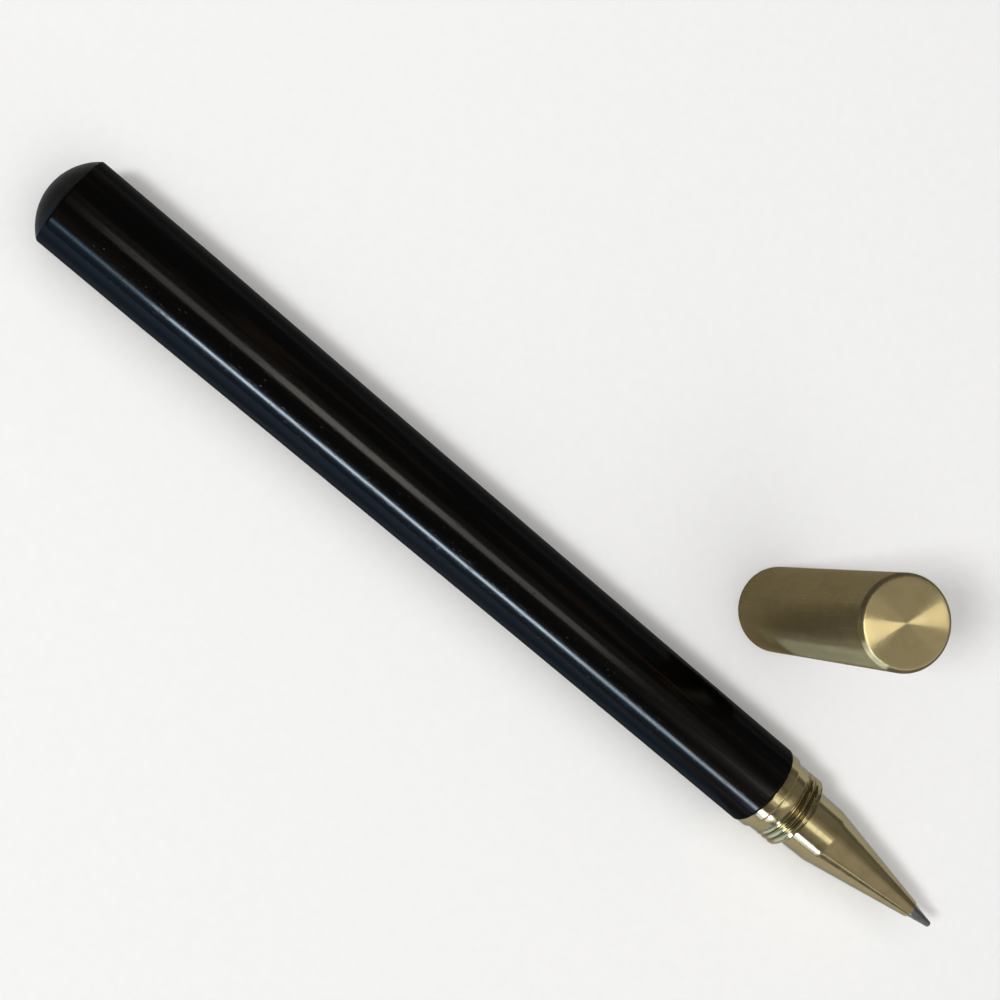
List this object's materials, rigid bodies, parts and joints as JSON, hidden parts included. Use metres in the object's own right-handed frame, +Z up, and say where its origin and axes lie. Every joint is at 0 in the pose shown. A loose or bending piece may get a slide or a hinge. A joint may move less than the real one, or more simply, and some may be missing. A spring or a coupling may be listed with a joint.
{
  "type": "wooden pen",
  "caption": "Turned black hardwood rollerball pen with a domed end, brass collar and nose cone, and a plain brass screw cap standing beside it on its mouth.",
  "frame": {"origin": "on the pen's axis, in the plane of the collar's flange where the mouth of the cap seats", "axes": "+X along the pen's axis towards the writing tip, +Z up from the table that the pen and the cap stand on"},
  "size_m": [0.1435, 0.0314, 0.038],
  "materials": {
    "ebony": "polished dark hardwood",
    "brass": "turned and polished",
    "brass_cap": "satin side, circular turned end",
    "brass_tube": "drawn tube",
    "steel": "turned",
    "spring_steel": "drawn wire",
    "carbide": "ground ball",
    "refill_plastic": "extruded",
    "dark_plastic": "moulded",
    "ink_fibre": "ink-soaked fibre"
  },
  "bodies": {
    "pen_body": {"barrel": "ebony", "barrel_liner": "brass_tube", "threaded_collar": "brass", "refill_spring": "spring_steel"},
    "refill": {"refill_tube": "refill_plastic", "ink_reservoir": "ink_fibre", "feed_wick": "ink_fibre", "refill_plug": "dark_plastic", "tip_holder": "refill_plastic", "writing_tip": "steel"},
    "nose": {"nose_cone": "brass"},
    "ball": {"tip_ball": "carbide"},
    "cap": {"cap": "brass_cap"}
  },
  "joints": [
    {"name": "nose_unscrew", "type": "hinge", "parent": "refill", "child": "nose", "pos_m": [0.0044, 0, 0], "axis": [1, 0, 0], "range_deg": [0, 1440]},
    {"name": "refill_advance", "type": "slide", "parent": "pen_body", "child": "refill", "axis": [1, 0, 0], "range_m": [0, 0.003], "deforming": ["refill_spring"]},
    {"name": "ball_roll", "type": "hinge", "parent": "refill", "child": "ball", "pos_m": [0.0279, 0, 0], "axis": [0, 1, 0], "continuous": true},
    {"name": "cap_lift", "type": "slide", "parent": "pen_body", "child": "cap", "axis": [0, 0, 1], "range_m": [0, 0.06]}
  ],
  "couplings": [
    {"joint": "nose_unscrew", "follows": "refill_advance", "rad_per_m": 8377.5}
  ]
}
